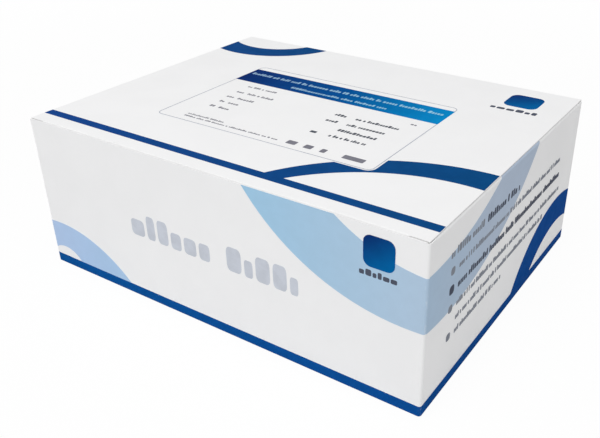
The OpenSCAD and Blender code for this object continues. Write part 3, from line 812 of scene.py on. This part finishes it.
# Leaflet
# Thin offset paper, folded over and over to a pad with its spine to the rear. The leaves stand apart a
# little towards the open front edge, and the top one lifts at a corner.
sheet_low, sheet_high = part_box("leaflet")
pad_l, pad_w = sheet_high.x - sheet_low.x, sheet_high.y - sheet_low.y
pad_half_t, pad_middle = (sheet_high.z - sheet_low.z) / 2, (sheet_low.z + sheet_high.z) / 2
paper_t = 0.1 * MM
leaves = 4
creased_w, curl_height, ripple_height = 12 * MM, 1.6 * MM, 0.08 * MM


def leaf_line(number, steps=40, turns=12):
    """Where one folded leaf runs in section, from its lower front edge round the spine and back."""
    radius = pad_half_t * (leaves - number) / leaves - paper_t / 2
    spine = sheet_high.y - pad_half_t
    front = sheet_low.y + (0.35 * number + 0.2 * math.sin(5 * number)) * MM
    lower = [(front + (spine - front) * step_no / steps, pad_middle - radius) for step_no in range(steps)]
    bend = []
    for step_no in range(turns + 1):
        angle = math.pi * step_no / turns
        bend.append((spine + radius * math.sin(angle), pad_middle - radius * math.cos(angle)))
    return lower + bend + [(y, pad_middle + radius) for y, z in reversed(lower)]


def leaf_lift(number, share_x, y):
    """How far the upper half of a leaf stands up at a place, from nothing at the creases."""
    open_share = max(0.0, (sheet_high.y - creased_w - y) / pad_w)
    spread = (0.5 * (leaves - number) / leaves) * open_share ** 2 * MM
    curl = curl_height * (open_share * (1 - share_x)) ** 3 if number == 0 else 0.0
    ripple = ripple_height * math.sin(9 * share_x + 4 * open_share + number) * open_share
    return spread + curl + ripple


def leaflet_mesh(columns=44):
    """The pad's leaves, each a folded strip with no thickness yet."""
    shape = bmesh.new()
    for number in range(leaves):
        rows = []
        for column in range(columns + 1):
            x = sheet_low.x + pad_l * column / columns
            row = []
            for y, z in leaf_line(number):
                lift = leaf_lift(number, column / columns, y) if z > pad_middle else 0.0
                row.append(shape.verts.new((x, y, z + lift)))
            rows.append(row)
        for first, second in zip(rows, rows[1:]):
            for corners in zip(first, first[1:], second[1:], second):
                shape.faces.new(corners).smooth = True
    return mesh_of("leaflet_pad", shape, [leaflet_paper()])


def leaflet_paper():
    """Paper with rows of grey print, drawn as cells that are inked or left out by chance."""
    finish, tree, place = new_finish("leaflet_paper")
    cells = reckon_vector(tree, "DIVIDE", place, (0.9 * MM, 2.2 * MM, 1.0))
    draw = wire(tree, "ShaderNodeTexWhiteNoise", {"Vector": reckon_vector(tree, "FLOOR", cells)}, "Value")
    in_cell = parts_of(tree, reckon_vector(tree, "FRACTION", cells))
    from_middle = reckon_vector(tree, "SUBTRACT", place, (sheet_low + sheet_high) / 2)
    margin = (sheet_high - sheet_low) / 2 - Vector((5, 6, 0)) * MM
    inside = reckon_vector(tree, "SUBTRACT", margin, reckon_vector(tree, "ABSOLUTE", from_middle))
    inside = parts_of(tree, inside)
    print_share = reckon(tree, "GREATER_THAN", draw, 0.2)
    for kept in (
            rise(tree, in_cell["X"], 0.75, 0.95, 1.0, 0.0), rise(tree, in_cell["Y"], 0.3, 0.4),
            rise(tree, in_cell["Y"], 0.7, 0.8, 1.0, 0.0), reckon(tree, "GREATER_THAN", inside["X"], 0.0),
            reckon(tree, "GREATER_THAN", inside["Y"], 0.0)):
        print_share = reckon(tree, "MULTIPLY", print_share, kept)
    fibres = noise(tree, place, 900, 4, 0.6)
    tone = mix(tree, blotches(tree, fibres), (0.86, 0.86, 0.84, 1), (0.81, 0.81, 0.79, 1))
    tone = mix(tree, reckon(tree, "MULTIPLY", print_share, 0.8), tone, (0.2, 0.21, 0.23, 1))
    shade(tree, tone, blotches(tree, fibres, 0.7, 0.8), bump(tree, fibres, 0.15, 0.03 * MM))
    return finish


leaflet = new_object("leaflet_pad", leaflet_mesh())
thicken = leaflet.modifiers.new("paper", "SOLIDIFY")
thicken.thickness = paper_t * 0.9
thicken.offset = 0
settle(leaflet, thicken)
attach(leaflet, "carton")
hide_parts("leaflet")


# Ground, light and camera
# A pale table top, one broad soft lamp from the front and above, and an even room. The table and the
# backdrop show white, as on a product sheet, and keep a faint shadow.
table_half, table_z = 3.0, -0.3 * MM
ground = bpy.data.meshes.new("table_top")
corners = [(x * table_half, y * table_half, table_z) for x, y in ((-1, -1), (1, -1), (1, 1), (-1, 1))]
ground.from_pydata(corners, [], [(0, 1, 2, 3)])
table = new_object("table_top", ground)


def seen_directly(tree):
    """1 for what the camera sees straight, mirrored or through clear plastic."""
    path = wire(tree, "ShaderNodeLightPath", output="Is Camera Ray").node.outputs
    both = reckon(tree, "MAXIMUM", path["Is Camera Ray"], path["Is Glossy Ray"])
    return reckon(tree, "MAXIMUM", both, path["Is Transmission Ray"])


table_finish, tree, place = new_finish("table_white")
lit = wire(tree, "ShaderNodeBsdfDiffuse", {"Color": (0.9, 0.9, 0.9, 1)})
glow = wire(tree, "ShaderNodeEmission", {"Color": (1, 1, 1, 1), "Strength": 1.0})
shadow_reach, white_from = 0.25, 0.9
fade = rise(tree, reckon_vector(tree, "LENGTH", place), shadow_reach, white_from, 0.95, 1.0)
share = reckon(tree, "MULTIPLY", seen_directly(tree), fade)
surface = wire(tree, "ShaderNodeMixShader", {0: share, 1: lit, 2: glow})
wire(tree, "ShaderNodeOutputMaterial", {"Surface": surface})
ground.materials.append(table_finish)

world = bpy.data.worlds.new("studio")
bpy.context.scene.world = world
world.use_nodes = True
tree = world.node_tree
tree.nodes.clear()
room = wire(tree, "ShaderNodeBackground", {"Color": (1, 1, 1, 1), "Strength": 0.44})
white = wire(tree, "ShaderNodeBackground", {"Color": (1, 1, 1, 1), "Strength": 1.0})
surface = wire(tree, "ShaderNodeMixShader", {0: seen_directly(tree), 1: room, 2: white})
wire(tree, "ShaderNodeOutputWorld", {"Surface": surface})

lamp_at, lamp_aim = Vector((0.107, -0.72, 1.45)), Vector((0, 0, 0.05))
soft_box = bpy.data.lights.new("soft_box", "AREA")
soft_box.shape = "SQUARE"
soft_box.size = 1.3
soft_box.energy = 16.9
lamp = new_object("soft_box", soft_box)
lamp.location = lamp_at
lamp.rotation_euler = (lamp_aim - lamp_at).to_track_quat("-Z", "Y").to_euler()

lens = bpy.data.cameras.new("camera")
lens.sensor_width = 36
lens.lens = 45.16
lens.shift_x = -0.0748
lens.shift_y = -0.0087
lens.clip_start = 0.01
camera = new_object("camera", lens)
camera.location = (0.2163, -0.3031, 0.2270)
looking = Vector((-0.4768, 0.7346, -0.4828)).normalized()
rightwards = Vector((0.8393, 0.5437, -0.0018)).normalized()
upwards = rightwards.cross(looking)
camera.rotation_euler = Matrix((rightwards, upwards, -looking)).transposed().to_euler()
bpy.context.scene.camera = camera
bpy.context.scene.view_settings.view_transform = "Standard"
